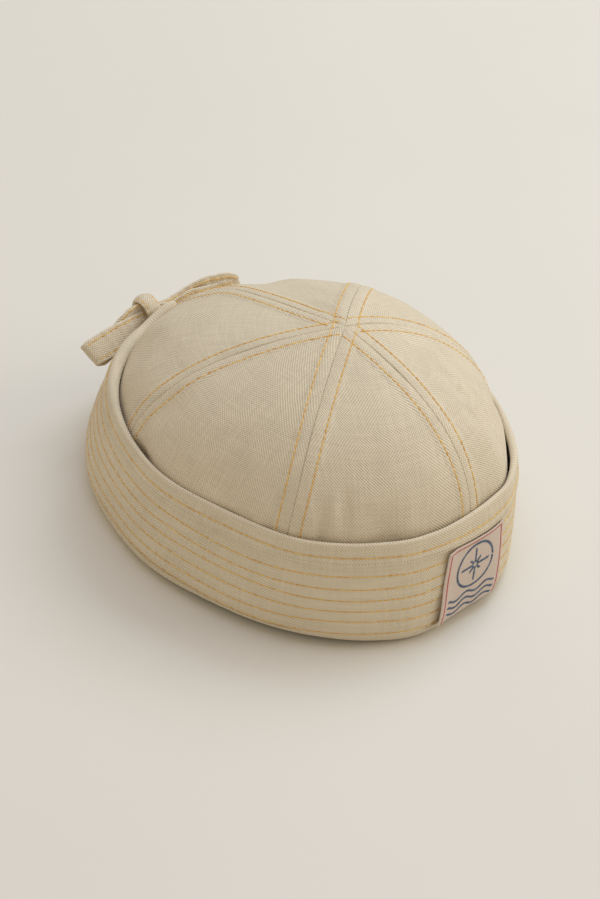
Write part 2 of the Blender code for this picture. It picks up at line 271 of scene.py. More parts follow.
def cuff_columns(angle, depths, tuck=0.0):
    """The cuff's smooth outer face at each angle, at depths measured down the cloth from the rim.

    A depth is in metres below the rim. Depths past the last row of quilting are shares: -1 is that row and
    0 the top of the inner leg. tuck moves a column inwards.
    """
    samples = 120
    down = np.linspace(0.0, 1.0, samples)[:, None]
    rim = rim_height(angle)
    lift = waves(angle, 4)
    wall_height = rim + (BULGE_HEIGHT - rim) * down
    parts = [wall_point(angle + 0.0 * down, wall_height, tuck + 0.0 * down)]
    quarter = down * np.pi / 2.0
    outer = (FOLD_INSET * (1.0 - np.cos(quarter)), BULGE_HEIGHT * (1.0 - np.sin(quarter)))
    under = (FOLD_INSET + FOLD_FLAT * down, 0.0 * down)
    inner = (FOLD_INSET + FOLD_FLAT + INNER_LEG_BULGE * np.sin(quarter),
             BULGE_HEIGHT / 2.0 * (1.0 - np.cos(quarter)))
    leg = (FOLD_INSET + FOLD_FLAT + INNER_LEG_BULGE + 0.0 * down,
           BULGE_HEIGHT / 2.0 + (INNER_LEG_HEIGHT - BULGE_HEIGHT / 2.0) * down)
    for inset, height in (outer, under, inner, leg):
        raised = height + lift * (1.0 - height / BULGE_HEIGHT)
        parts.append(base_point(angle + 0.0 * down, inset + tuck, raised)[1:])
    dense = np.concatenate(parts)
    steps = np.linalg.norm(np.diff(dense, axis=0), axis=-1)
    run = np.concatenate([np.zeros((1, len(angle))), np.cumsum(steps, axis=0)])
    face = np.empty((len(depths), len(angle), 3))
    depths = np.asarray(depths)
    for column in range(len(angle)):
        last = run[-1, column]
        low = depths.copy()
        for centre, half_width, depth, half_depth, extra in SEWN_SAGS:
            turn = angle_between(angle[column], math.radians(centre)) / math.radians(half_width)
            low += bell(turn) * bell((depths - depth * MM) / (half_depth * MM)) * extra * MM
        wanted = np.where(depths >= 0.0, low, last + depths * (last - QUILTING_ROWS[-1]))
        for axis in range(3):
            face[:, column, axis] = np.interp(wanted, run[:, column], dense[:, column, axis])
    return face


def unit(vectors):
    """Vectors of length 1."""
    return vectors / np.maximum(np.linalg.norm(vectors, axis=-1, keepdims=True), 1e-12)


def normals_of(face):
    """Outward directions of a grid of points whose columns run across and whose rows run up."""
    return unit(np.cross(np.gradient(face, axis=1), np.gradient(face, axis=0)))


def run_along(face, axis):
    """Distance along each line of a grid of points, from its first point."""
    steps = np.linalg.norm(np.diff(face, axis=axis), axis=-1)
    start = np.zeros_like(np.take(steps, [0], axis=axis))
    return np.concatenate([start, np.cumsum(steps, axis=axis)], axis=axis)


def ripple(place, length, seed):
    """An uneven wave along a line, about one length from crest to crest, between -1 and 1."""
    chance = np.random.default_rng(seed)
    total = np.zeros_like(place)
    for stretch in (0.62, 1.0, 1.53):
        total += np.sin(2.0 * np.pi * (place / (length * stretch) + chance.random())) / 3.0
    return total


def mottle(points, length, seed):
    """A soft uneven field over points in space, between about -1 and 1."""
    chance = np.random.default_rng(seed)
    total = np.zeros(points.shape[:-1])
    for _ in range(6):
        heading = unit(chance.normal(size=3))
        total += np.sin(2.0 * np.pi * (points @ heading / (length * (0.7 + 0.9 * chance.random()))
                                       + chance.random())) / 4.0
    return total


WEIGHT_STEPS = 3000  # how finely the wall's thickness is told apart from place to place


def cloth_sheet(name, face, thickness, flat, material, soft_edges="", weld=False):
    """A grid laid on a face of rows by columns of points, with a wall behind it.

    thickness is one value, or a grid of them. flat holds where each point lies in the cut cloth, and becomes
    the UV map "cloth", in metres. soft_edges names the borders that end round: l, r, b and t. With none, the
    sheet grows inwards from its face. Nothing reaches below the floor.
    """
    rows, columns = face.shape[:2]
    thickness = np.broadcast_to(thickness, (rows, columns))
    border = np.full((rows, columns), 1.0)
    across, up = run_along(face, 1), run_along(face, 0)
    distances = {"l": across, "r": across[:, -1:] - across, "b": up, "t": up[-1:] - up}
    for side in soft_edges:
        inside = np.clip(distances[side] / (thickness / 2.0), 0.0, 1.0)
        border = np.minimum(border, np.sqrt(1.0 - (1.0 - inside) ** 2))
    sunk = thickness / 2.0 if soft_edges else 0.0 * thickness
    surface = face - normals_of(face) * sunk[..., None]
    bpy.ops.object.select_all(action='DESELECT')
    bpy.ops.mesh.primitive_grid_add(x_subdivisions=columns - 1, y_subdivisions=rows - 1, size=2.0)
    sheet = bpy.context.object
    sheet.name = sheet.data.name = name
    mesh = sheet.data
    mesh.vertices.foreach_set("co", surface.ravel())
    corner = np.empty(len(mesh.loops), dtype=np.int32)
    mesh.loops.foreach_get("vertex_index", corner)
    mesh.uv_layers[0].name = "cloth"
    mesh.uv_layers[0].data.foreach_set("uv", flat.reshape(-1, 2)[corner].ravel())
    group = sheet.vertex_groups.new(name="thickness")
    share = np.maximum(thickness / thickness.max() * border, 0.06)
    level = np.round(share.ravel() * WEIGHT_STEPS).astype(int)
    for value in np.unique(level):
        group.add(np.flatnonzero(level == value).tolist(), float(value) / WEIGHT_STEPS, 'REPLACE')
    mesh.materials.append(material)
    bpy.ops.object.mode_set(mode='EDIT')
    bpy.ops.mesh.select_all(action='SELECT')
    if weld:
        bpy.ops.mesh.remove_doubles(threshold=0.00001)
    bpy.ops.object.mode_set(mode='OBJECT')
    wall = sheet.modifiers.new("wall", 'SOLIDIFY')
    wall.thickness = float(thickness.max())
    wall.offset = 0.0 if soft_edges else -1.0
    wall.vertex_group = "thickness"
    bpy.ops.object.modifier_apply(modifier="wall")
    sheet.vertex_groups.clear()
    points = np.empty(3 * len(mesh.vertices))
    mesh.vertices.foreach_get("co", points)
    points[2::3] = np.maximum(points[2::3], 0.0)
    mesh.vertices.foreach_set("co", points)
    mesh.shade_smooth()
    if not soft_edges:
        bpy.ops.object.shade_smooth_by_angle(angle=math.radians(50.0))
    return sheet


def tree_of(*faces):
    """A search tree over grids of points."""
    points, quads = [], []
    for face in faces:
        rows, columns = face.shape[:2]
        first = len(points)
        points += [Vector(point) for point in face.reshape(-1, 3)]
        corner = first + np.arange(rows * columns).reshape(rows, columns)
        quads += np.stack([corner[:-1, :-1], corner[:-1, 1:], corner[1:, 1:], corner[1:, :-1]], -1
                          ).reshape(-1, 4).tolist()
    return BVHTree.FromPolygons(points, quads)


def laid_on(tree, points):
    """Each point moved to the nearest place on the cloth."""
    return np.array([tree.find_nearest(Vector(point))[0] for point in points])


def thread_shape():
    """One stitch, 1 long and 1 wide: a small ball drawn out, as points and faces."""
    bpy.ops.object.select_all(action='DESELECT')
    bpy.ops.mesh.primitive_uv_sphere_add(segments=6, ring_count=7, radius=0.5)
    ball = bpy.context.object
    points = np.array([vertex.co[:] for vertex in ball.data.vertices])
    points = np.stack([points[:, 2], points[:, 0], points[:, 1]], axis=-1)
    faces = [list(face.vertices) for face in ball.data.polygons]
    bpy.data.objects.remove(ball, do_unlink=True)
    return points, faces


def sew(name, lines, material, width, pitch=STITCH_PITCH, length=STITCH_LENGTH, lift=0.1 * MM,
        dip=STITCH_DIP, slant=0.0, height=1.0):
    """Stitches along lines, each a pair of points and outward directions, joined as one piece."""
    shape, shape_faces = thread_shape()
    chance = np.random.default_rng(len(name))
    centres, alongs, ups = [], [], []
    for points, outward in lines:
        run = np.concatenate([[0.0], np.cumsum(np.linalg.norm(np.diff(points, axis=0), axis=-1))])
        count = max(int(run[-1] / pitch), 1)
        middles = (np.arange(count) + 0.5) * run[-1] / count
        start, end = (np.stack([np.interp(place, run, points[:, axis]) for axis in range(3)], -1)
                      for place in (middles - 0.5 * length, middles + 0.5 * length))
        centres.append((end + start) / 2.0)
        alongs.append(unit(end - start))
        ups.append(unit(np.stack([np.interp(middles, run, outward[:, axis]) for axis in range(3)], -1)))
    centres, alongs, ups = (np.concatenate(part) for part in (centres, alongs, ups))
    sides = unit(np.cross(ups, alongs))
    ups = np.cross(alongs, sides)
    turn = slant + STITCH_UNEVEN * chance.normal(size=(len(centres), 1))
    alongs, sides = (alongs * np.cos(turn) + sides * np.sin(turn),
                     sides * np.cos(turn) - alongs * np.sin(turn))
    local = shape * (length, width, width * height)
    local[:, 2] += lift - dip * (2.0 * np.abs(shape[:, 0])) ** 3
    points = (centres[:, None] + alongs[:, None] * local[None, :, :1] + sides[:, None] * local[None, :, 1:2]
              + ups[:, None] * local[None, :, 2:])
    step = len(shape)
    faces = [[corner + step * number for corner in face] for number in range(len(centres))
             for face in shape_faces]
    mesh = bpy.data.meshes.new(name)
    mesh.from_pydata(points.reshape(-1, 3).tolist(), [], faces)
    layer = mesh.uv_layers.new(name="thread")
    corner = np.empty(len(mesh.loops), dtype=np.int32)
    mesh.loops.foreach_get("vertex_index", corner)
    tint = np.repeat(chance.random(len(centres)), step)
    along = np.tile(shape[:, 0] * length, len(centres))
    layer.data.foreach_set("uv", np.stack([along, tint], -1)[corner].ravel())
    mesh.shade_smooth()
    mesh.materials.append(material)
    piece = bpy.data.objects.new(name, mesh)
    bpy.context.scene.collection.objects.link(piece)
    return piece


# Materials


def linear(hex_colour):
    """An sRGB hex colour as linear values."""
    channels = [int(hex_colour[place:place + 2], 16) / 255.0 for place in (1, 3, 5)]
    return (*[c / 12.92 if c <= 0.04045 else ((c + 0.055) / 1.055) ** 2.4 for c in channels], 1.0)


def add_node(tree, kind, inputs=None, **settings):
    """Add a node with its settings, and give its inputs values or links from other nodes' outputs."""
    node = tree.nodes.new(kind)
    for name, value in settings.items():
        setattr(node, name, value)
    for name, value in (inputs or {}).items():
        if isinstance(value, bpy.types.NodeSocket):
            tree.links.new(value, node.inputs[name])
        else:
            node.inputs[name].default_value = value
    return node


def bare_material(name, roughness, sheen, sheen_roughness=0.5, specular=0.3):
    """A material with only its shader, and the constants that are the same all over."""
    material = bpy.data.materials.new(name)
    material.use_nodes = True
    shader = material.node_tree.nodes["Principled BSDF"]
    shader.inputs["Roughness"].default_value = roughness
    shader.inputs["Specular IOR Level"].default_value = specular
    shader.inputs["Sheen Weight"].default_value = sheen
    shader.inputs["Sheen Roughness"].default_value = sheen_roughness
    return material, material.node_tree, shader


WALE_SPACING = 0.98 * MM  # about twice the real spacing, so that the twill shows
WALE_ANGLE = math.radians(52.0)
CROSS_WALE_ANGLE = math.radians(-47.0)
YARNS_ACROSS = 900.0  # uneven yarns per metre: about 1.1 mm wide and 17 mm long
YARNS_ALONG = 60.0


def cotton_twill():
    """Undyed cotton in a fine broken twill: matt, a little hairy, its slanting wales and yarns uneven. The
    wales' light and dark in the colour are partly yarn pattern and partly painted shade of the weave's
    relief.
    """
    material, tree, shader = bare_material("ecru cotton twill", 0.92, 0.1)
    uv = add_node(tree, "ShaderNodeUVMap", uv_map="cloth").outputs["UV"]
    wander = add_node(tree, "ShaderNodeTexNoise", {"Vector": uv, "Scale": 120.0, "Detail": 1.0})
    shift = add_node(tree, "ShaderNodeVectorMath", {0: wander.outputs["Color"], 1: (0.0008, 0.0008, 0.0)},
                     operation='MULTIPLY')
    place = add_node(tree, "ShaderNodeVectorMath", {0: uv, 1: shift.outputs[0]}, operation='ADD').outputs[0]
    turns = 2.0 * math.pi / WALE_SPACING
    wales = []
    for angle in (WALE_ANGLE, CROSS_WALE_ANGLE):
        across = (-math.sin(angle) * turns, math.cos(angle) * turns, 0.0)
        phase = add_node(tree, "ShaderNodeVectorMath", {0: place, 1: across}, operation='DOT_PRODUCT')
        wale = add_node(tree, "ShaderNodeMath", {0: phase.outputs["Value"]}, operation='SINE')
        wales.append(wale.outputs[0])
    patches = add_node(tree, "ShaderNodeTexNoise", {"Vector": uv, "Scale": 55.0, "Detail": 1.0}).outputs[0]
    lean = add_node(tree, "ShaderNodeMapRange", {"Value": patches, "From Min": 0.38, "From Max": 0.62,
                                                 "To Min": 0.2, "To Max": 0.8}).outputs[0]
    weave = add_node(tree, "ShaderNodeMix", {"Factor": lean, 2: wales[0], 3: wales[1]}).outputs[0]
    yarns = []
    for stretch in ((YARNS_ACROSS, YARNS_ALONG, 1.0), (YARNS_ALONG, YARNS_ACROSS, 1.0)):
        drawn = add_node(tree, "ShaderNodeMapping", {"Vector": uv, "Scale": stretch}).outputs[0]
        yarn = add_node(tree, "ShaderNodeTexNoise", {"Vector": drawn, "Scale": 1.0, "Detail": 2.0})
        yarns.append(yarn.outputs[0])
    uneven = add_node(tree, "ShaderNodeMath", {0: yarns[0], 1: yarns[1]}, operation='ADD')
    soft = add_node(tree, "ShaderNodeTexNoise", {"Vector": uv, "Scale": 28.0, "Detail": 3.0})
    shade = add_node(tree, "ShaderNodeMapRange", {"Value": weave, "From Min": -1.0, "From Max": 1.0,
                                                  "To Min": 0.0, "To Max": 1.0}).outputs[0]
    # Painted shade: the wale stripes' light and dark in the base colour are partly the yarn pattern and
    # partly the light and shade of the weave's relief.
    cloth = add_node(tree, "ShaderNodeMix", {"Factor": shade, 6: linear("#CBBB9E"),
                                             7: linear("#E8DDC8")}, data_type='RGBA').outputs[2]
    tint = add_node(tree, "ShaderNodeMapRange", {"Value": uneven.outputs[0], "From Min": 0.7, "From Max": 1.3,
                                                 "To Min": 0.93, "To Max": 1.06}).outputs[0]
    tinted = add_node(tree, "ShaderNodeVectorMath", {0: cloth, "Scale": tint}, operation='SCALE').outputs[0]
    cloud = add_node(tree, "ShaderNodeMapRange", {"Value": soft.outputs[0], "From Min": 0.3, "From Max": 0.7,
                                                  "To Min": 0.97, "To Max": 1.03}).outputs[0]
    colour = add_node(tree, "ShaderNodeVectorMath", {0: tinted, "Scale": cloud}, operation='SCALE').outputs[0]
    tree.links.new(colour, shader.inputs["Base Color"])
    relief = add_node(tree, "ShaderNodeMath", {0: uneven.outputs[0], 1: 0.6, 2: weave},
                      operation='MULTIPLY_ADD').outputs[0]
    bump = add_node(tree, "ShaderNodeBump", {"Height": relief, "Strength": 0.7, "Distance": 0.14 * MM})
    tree.links.new(bump.outputs[0], shader.inputs["Normal"])
    return material


def sewing_thread():
    """Golden polyester-cotton sewing thread: two plies twisted, with a soft gloss."""
    material, tree, shader = bare_material("golden sewing thread", 0.55, 0.25, specular=0.4)
    uv = add_node(tree, "ShaderNodeUVMap", uv_map="thread").outputs["UV"]
    parts = add_node(tree, "ShaderNodeSeparateXYZ", {0: uv})
    twist = add_node(tree, "ShaderNodeMath", {0: parts.outputs[0], 1: 2.0 * math.pi / (0.55 * MM)},
                     operation='MULTIPLY')
    ply = add_node(tree, "ShaderNodeMath", {0: twist.outputs[0]}, operation='SINE').outputs[0]
    colour = add_node(tree, "ShaderNodeMix", {"Factor": parts.outputs[1], 6: linear("#DDA23C"),
                                              7: linear("#F2C762")}, data_type='RGBA').outputs[2]
    tree.links.new(colour, shader.inputs["Base Color"])
    bump = add_node(tree, "ShaderNodeBump", {"Height": ply, "Strength": 0.4, "Distance": 0.06 * MM})
    tree.links.new(bump.outputs[0], shader.inputs["Normal"])
    return material


def woven_ground():
    """The label's ground: fine white and rose polyester yarns in a close damask, with a faint rib."""
    material, tree, shader = bare_material("woven label ground", 0.7, 0.1, specular=0.35)
    uv = add_node(tree, "ShaderNodeUVMap", uv_map="cloth").outputs["UV"]
    parts = add_node(tree, "ShaderNodeSeparateXYZ", {0: uv})
    ribs = []
    for axis, spacing in ((1, 0.55 * MM), (0, 0.5 * MM)):
        turns = add_node(tree, "ShaderNodeMath", {0: parts.outputs[axis], 1: 2.0 * math.pi / spacing},
                         operation='MULTIPLY').outputs[0]
        ribs.append(add_node(tree, "ShaderNodeMath", {0: turns}, operation='SINE').outputs[0])
    weave = add_node(tree, "ShaderNodeMath", {0: ribs[0], 1: ribs[1]}, operation='MULTIPLY').outputs[0]
    speck = add_node(tree, "ShaderNodeTexNoise", {"Vector": uv, "Scale": 1400.0, "Detail": 1.0})
    shade = add_node(tree, "ShaderNodeMath", {0: weave, 1: 0.25, 2: speck.outputs[0]},
                     operation='MULTIPLY_ADD')
    colour = add_node(tree, "ShaderNodeMix", {"Factor": shade.outputs[0], 6: linear("#C2AD9F"),
                                              7: linear("#DFD0C4")}, data_type='RGBA').outputs[2]
    tree.links.new(colour, shader.inputs["Base Color"])
    bump = add_node(tree, "ShaderNodeBump", {"Height": weave, "Strength": 0.35, "Distance": 0.08 * MM})
    tree.links.new(bump.outputs[0], shader.inputs["Normal"])
    return material


def figure_yarn(name, dark, light):
    """Coloured yarn that floats on the label's face, each float a little lighter or darker than the next."""
    material, tree, shader = bare_material(name, 0.65, 0.15, specular=0.35)
    uv = add_node(tree, "ShaderNodeUVMap", uv_map="thread").outputs["UV"]
    tint = add_node(tree, "ShaderNodeSeparateXYZ", {0: uv}).outputs[1]
    colour = add_node(tree, "ShaderNodeMix", {"Factor": tint, 6: linear(dark), 7: linear(light)},
                      data_type='RGBA').outputs[2]
    tree.links.new(colour, shader.inputs["Base Color"])
    return material


def studio_paper():
    """The floor: matt pale paper, with a faint grain."""
    material, tree, shader = bare_material("pale studio paper", 0.95, 0.0, specular=0.2)
    place = add_node(tree, "ShaderNodeTexCoord").outputs["Object"]
    grain = add_node(tree, "ShaderNodeTexNoise", {"Vector": place, "Scale": 6.0, "Detail": 4.0})
    colour = add_node(tree, "ShaderNodeMix", {"Factor": grain.outputs[0], 6: linear("#E1DDD5"),
                                              7: linear("#E6E2DA")}, data_type='RGBA').outputs[2]
    tree.links.new(colour, shader.inputs["Base Color"])
    return material


# Crown


SEAMS = (
    # angle deg, sideways bow mm, distance of the stitching on each side mm
    (0.0, 1.0, 4.7),
    (64.0, 0.8, 5.1),
    (118.0, -2.6, 5.3),
    (175.0, 0.6, 3.9),
    (242.0, -1.6, 4.6),
    (301.0, 2.9, 5.5),
    (360.0, 1.0, 4.7),
)
SEAM_FOOT = 0.85


def seam_angle(number, share):
    """The angle of a seam, which bows sideways between the crown's top and its foot."""
    angle, bow = math.radians(SEAMS[number][0]), SEAMS[number][1] * MM
    step = 0.01
    chord = crown_point(angle + step, share) - crown_point(angle - step, share)
    radius = np.maximum(np.linalg.norm(chord, axis=-1) / (2 * step), 2.0 * MM)
    return angle + bow * np.sin(np.pi * np.minimum(share / SEAM_FOOT, 1.0)) / radius


def seam_relief(distance, along, stitched, seed):
    """Height of the cloth by a seam: rolled into it, raised over the allowance, pulled in by stitches."""
    rolled = -SEAM_DEPTH * (1.0 - ramp(distance, 0.0, SEAM_ROLL))
    edge = stitched + ALLOWANCE_MARGIN + 0.35 * MM * ripple(along, 9.0 * MM, seed)
    raised = ALLOWANCE_RAISE * (1.0 - ramp(distance, edge - 1.1 * MM, edge + 1.1 * MM))
    off_stitch = (distance - stitched) / (0.8 * MM)
    groove = -0.26 * MM * np.exp(-off_stitch ** 2)
    pillow = 0.10 * MM * bell((distance - stitched / 2.0) / (stitched / 2.0))
    pucker = 0.10 * MM * ripple(along, 5.2 * MM, seed + 1) * bell((distance - stitched) / (5.0 * MM))
    return rolled + raised + groove + pillow + pucker


def crown_panel_face(number):
    """One gore's outer face as a grid of points, and where they lie in the cut cloth."""
    share = np.linspace(1.0, 0.0, CROWN_ROWS + 1)[:, None]
    first, last = seam_angle(number, share), seam_angle(number + 1, share)
    even = np.linspace(0.0, 1.0, CROWN_COLUMNS + 1)
    across = even - SEAM_CROWDING * np.sin(2.0 * np.pi * even) / (2.0 * np.pi)
    base = crown_point(first + (last - first) * across, share)
    from_first = run_along(base, 1)
    from_last = from_first[:, -1:] - from_first
    up = run_along(base, 0)
    middle = CROWN_COLUMNS // 2
    flat = np.stack([from_first - from_first[:, middle:middle + 1],
                     np.repeat(up[:, middle:middle + 1], CROWN_COLUMNS + 1, axis=1)], -1)
    left = seam_relief(from_first, up, SEAMS[number][2] * MM, 10 * number)
    right = seam_relief(from_last, up, SEAMS[number + 1][2] * MM, 10 * number + 5)
    near = ramp(np.abs(from_first - from_last), 0.0, 6.0 * MM)
    relief = np.where(from_first < from_last, left, right)
    relief = relief * near + np.maximum(left, right) * (1.0 - near)
    relief += 0.25 * MM * mottle(base, 34.0 * MM, 40 + number)
    outward = normals_of(base)
    outward[-1] = (0.0, 0.0, 1.0)  # the top point, which all six gores share
    return base + outward * relief[..., None], flat


def make_crown(material):
    """Six gores of twill from the top down to the cuff's inner leg."""
    faces, panels = [], []
    for number in range(len(SEAMS) - 1):
        face, flat = crown_panel_face(number)
        name = f"crown_gore_{number + 1}"
        panel = cloth_sheet(name, face, CROWN_THICKNESS, flat, material, weld=True)
        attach(panel, "root")
        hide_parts(f"crown_panel_{number + 1}")
        faces.append(face)
        panels.append(panel)
    return tree_of(*faces)


TOPSTITCH_STARTS = (
    # seam number, side it lies on, start of the line from the crown's top mm
    (2, -1.0, 0.0),
    (2, 1.0, 0.0),
    (5, -1.0, 0.0),
    (5, 1.0, 0.0),
    (0, -1.0, 3.0),
    (0, 1.0, 2.0),
    (1, -1.0, 4.0),
    (1, 1.0, 3.0),
    (3, -1.0, 2.6),
    (3, 1.0, 6.0),
    (4, -1.0, 1.5),
    (4, 1.0, 1.5),
)
TOPSTITCH_END = 0.9


def seam_line(number, side, start):
    """The line sewn beside a seam: points off the cloth, and outward directions."""
    share = np.linspace(0.0, TOPSTITCH_END, 240)
    angle = seam_angle(number, share)
    on_seam = crown_point(angle, share)
    along = unit(np.gradient(on_seam, axis=0))
    beyond = crown_point(angle + 0.02, share) - crown_point(angle - 0.02, share)
    beyond[:3] = beyond[3]  # at the top itself the seam has no side
    outward = unit(np.cross(along, unit(beyond)))
    outward = np.where(outward @ np.array((0.0, 0.0, 1.0)) < -0.2, -1.0, 1.0)[:, None] * outward
    across = unit(np.cross(outward, along))
    flip = np.sign(np.sum(across * beyond, axis=-1, keepdims=True))
    run = np.concatenate([[0.0], np.cumsum(np.linalg.norm(np.diff(on_seam, axis=0), axis=-1))])
    keep = run >= start * MM
    line = on_seam + across * flip * side * SEAMS[number][2] * MM
    return line[keep], outward[keep]


def sew_crown(tree, thread):
    """Twin topstitching along the crown's seams."""
    lines = []
    for number, side, start in TOPSTITCH_STARTS:
        points, outward = seam_line(number, side, start)
        lines.append((laid_on(tree, points), outward))
    stitches = sew("crown_topstitching", lines, thread, CROWN_THREAD_WIDTH)
    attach(stitches, "root")
    return stitches


# Cuff


def cuff_depths():
    """Grid rows of the cuff, as depths down the cloth from the rim: close together where it turns sharply."""
    rows = [0.0, 0.1 * MM, 0.32 * MM, 0.7 * MM, 1.3 * MM, 2.2 * MM, 3.4 * MM, 4.8 * MM]
    rows += [HEM_STITCH + step * MM for step in (-0.9, -0.4, 0.0, 0.4, 0.9)]
    rows += [HEM_EDGE + step * MM for step in (-1.7, -0.8, -0.2, 0.2, 0.5, 0.8, 1.1, 1.35, 1.5, 1.8, 2.6,
                                               3.8, 5.2)]
    for depth in QUILTING_ROWS:
        rows += [depth + step * MM for step in (-1.1, -0.45, 0.0, 0.45, 1.1)]
    for high, low in zip(QUILTING_ROWS, QUILTING_ROWS[1:]):
        rows += [high + (low - high) * share for share in (0.38, 0.62)]
    below = np.linspace(-0.96, -0.000001, 25)
    return np.concatenate([sorted(rows), below])


def cuff_relief(depth, along, angle):
    """Height of the cuff's cloth over its smooth face, at a depth below the rim.

    The hem rolls over at its edge and stops short on the cloth below, which puckers on the left. Each sewn
    row lies in a groove, with a soft pillow between rows.
    """
    wander = 0.12 * MM * ripple(along, 13.0 * MM, 2)
    past = np.maximum(depth + wander - HEM_EDGE, 0.0)
    relief = HEM_STEP - np.minimum(HEM_ROLL * past ** 2, HEM_STEP)
    relief += 0.22 * MM * bell((depth - HEM_EDGE) / (2.4 * MM))
    relief -= 0.22 * MM * bell((depth - HEM_EDGE - 3.2 * MM) / (2.6 * MM))
    pucker = ripple(along + 0.8 * depth, 9.0 * MM, 11) * bell((depth - HEM_EDGE - 3.4 * MM) / (4.2 * MM))
    relief += 0.26 * MM * pucker * bell(angle_between(angle, HEM_PUCKER_ANGLE) / HEM_PUCKER_HALF_ANGLE)
    relief -= 0.26 * MM * np.exp(-((depth - HEM_STITCH) / (0.75 * MM)) ** 2)
    relief += 0.12 * MM * ripple(along, 6.0 * MM, 3) * bell((depth - HEM_STITCH) / (4.0 * MM))
    for number, row in enumerate(QUILTING_ROWS):
        off = depth - row
        relief -= 0.24 * MM * np.exp(-(off / (0.75 * MM)) ** 2)
        relief += 0.13 * MM * ripple(along, 5.5 * MM, 50 + number) * bell(off / (4.5 * MM))
        relief += 0.14 * MM * bell((off - 3.15 * MM) / (3.0 * MM))
    return relief


def cuff_face():
    """The cuff's outer face from the slit round to its overlap, with its thickness, cut shape and depths."""
    even = np.linspace(0.0, 1.0, CUFF_COLUMNS + 1)
    depths = cuff_depths()
    depth = np.where(depths >= 0.0, depths, 2.0 * QUILTING_ROWS[-1])[:, None]
    lap = ramp(1.0 - depth / SLIT_DEPTH, 0.0, 0.35)
    angle = SLIT_ANGLE + 2.0 * np.pi * even
    plain = cuff_columns(angle, depths)
    stretched = cuff_columns(angle + SLIT_OVERLAP * ramp(even, 0.955, 1.0), depths)
    tucked = stretched - normals_of(stretched[::-1])[::-1] * (SLIT_TUCK * ramp(even, 0.955, 0.978))[:, None]
    base = plain + (tucked - plain) * lap[..., None]
    base[..., 2] += RIM_END_RISE * (1.0 - ramp(even, 0.0, 0.045)) * (1.0 - ramp(depth, 0.0, 26.0 * MM))
    along = np.repeat(run_along(base, 1)[20:21], len(depths), axis=0)
    face = base[::-1]
    outward = normals_of(face)
    relief = cuff_relief(depth + 0.0 * along, along, angle)[::-1]
    relief += 0.3 * MM * mottle(face, 40.0 * MM, 7) * ramp(depth, 0.0, 10.0 * MM)[::-1]
    flat = np.stack([along[::-1], -run_along(base, 0)[::-1]], -1)
    roll = swellings(RIM_ROLLS, angle) * (1.0 - ramp(depth, 3.0 * MM, 11.0 * MM))
    hem = HEM_STEP * (1.0 - ramp(depth, HEM_EDGE - 0.6 * MM, HEM_EDGE + 1.6 * MM))
    face = face + outward * relief[..., None]
    face[..., 2] = np.maximum(face[..., 2], FLOOR_GAP)
    thickness = CUFF_THICKNESS + (hem + roll)[::-1]
    return face, outward, thickness, flat, depths[::-1]


def make_cuff(material, thread):
    """The turned-up band with its hem, and the golden rows sewn round it."""
    face, outward, thickness, flat, depths = cuff_face()
    cuff = cloth_sheet("cuff_band", face, thickness, flat, material, soft_edges="lrt", weld=True)
    lines = []
    for row in (HEM_STITCH, *QUILTING_ROWS):
        line = int(np.argmin(np.abs(depths - row)))
        lines.append((face[line], outward[line]))
    stitches = sew("cuff_stitching", lines, thread, CUFF_THREAD_WIDTH)
    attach(cuff, "root")
    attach(stitches, "root")
    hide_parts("cuff")


# Label


LABEL_WIDTH = 35.8 * MM
LABEL_TOP_DEPTH = 11.4 * MM
LABEL_LENGTH = 39.6 * MM
LABEL_TOP_X = 0.8 * MM
LABEL_BOTTOM_X = -4.8 * MM
LABEL_THICKNESS = 0.6 * MM
LABEL_LIFT = 0.5 * MM
LABEL_CURL = 1.4 * MM
LABEL_CURL_RUN = 5.2 * MM
LABEL_TOP_CURL = 0.5 * MM


def label_point(x, y):
    """A point of the label's face: x across from its middle and y down from its top edge."""
    x, y = np.broadcast_arrays(np.asarray(x, float), np.asarray(y, float))
    angles = np.radians(np.linspace(-24.0, 24.0, 97))
    depths = np.linspace(LABEL_TOP_DEPTH - 2.0 * MM, LABEL_TOP_DEPTH + LABEL_LENGTH + 2.0 * MM, 120)
    base = cuff_columns(angles, depths)
    outward = normals_of(base[::-1])[::-1]
    centre = LABEL_TOP_X + (LABEL_BOTTOM_X - LABEL_TOP_X) * y / LABEL_LENGTH
    angle = np.arcsin((x + centre) / (BASE_HALF_WIDTH - 1.0 * MM))
    column = np.clip(np.interp(angle, angles, np.arange(len(angles))), 0, len(angles) - 1.001)
    row = np.clip(np.interp(y + LABEL_TOP_DEPTH, depths, np.arange(len(depths))), 0, len(depths) - 1.001)
    i, j = row.astype(int), column.astype(int)
    a, b = (row - i)[..., None], (column - j)[..., None]
    place, turn = (grid[i, j] * (1 - a) * (1 - b) + grid[i + 1, j] * a * (1 - b)
                   + grid[i, j + 1] * (1 - a) * b + grid[i + 1, j + 1] * a * b for grid in (base, outward))
    curl = LABEL_CURL * ramp(-x / LABEL_WIDTH, 0.32, 0.5) * (0.6 + 0.4 * np.cos(y / LABEL_CURL_RUN))
    curl += LABEL_TOP_CURL * (1.0 - ramp(y, 0.0, 3.0 * MM))
    return place + turn * (LABEL_LIFT + LABEL_THICKNESS + curl)[..., None]


def on_label(x, y):
    """A line drawn on the label, as points and outward directions."""
    small = 0.2 * MM
    points = label_point(x, y)
    across = label_point(np.asarray(x) + small, y) - points
    down = label_point(x, np.asarray(y) + small) - points
    return points, unit(np.cross(across, -down))


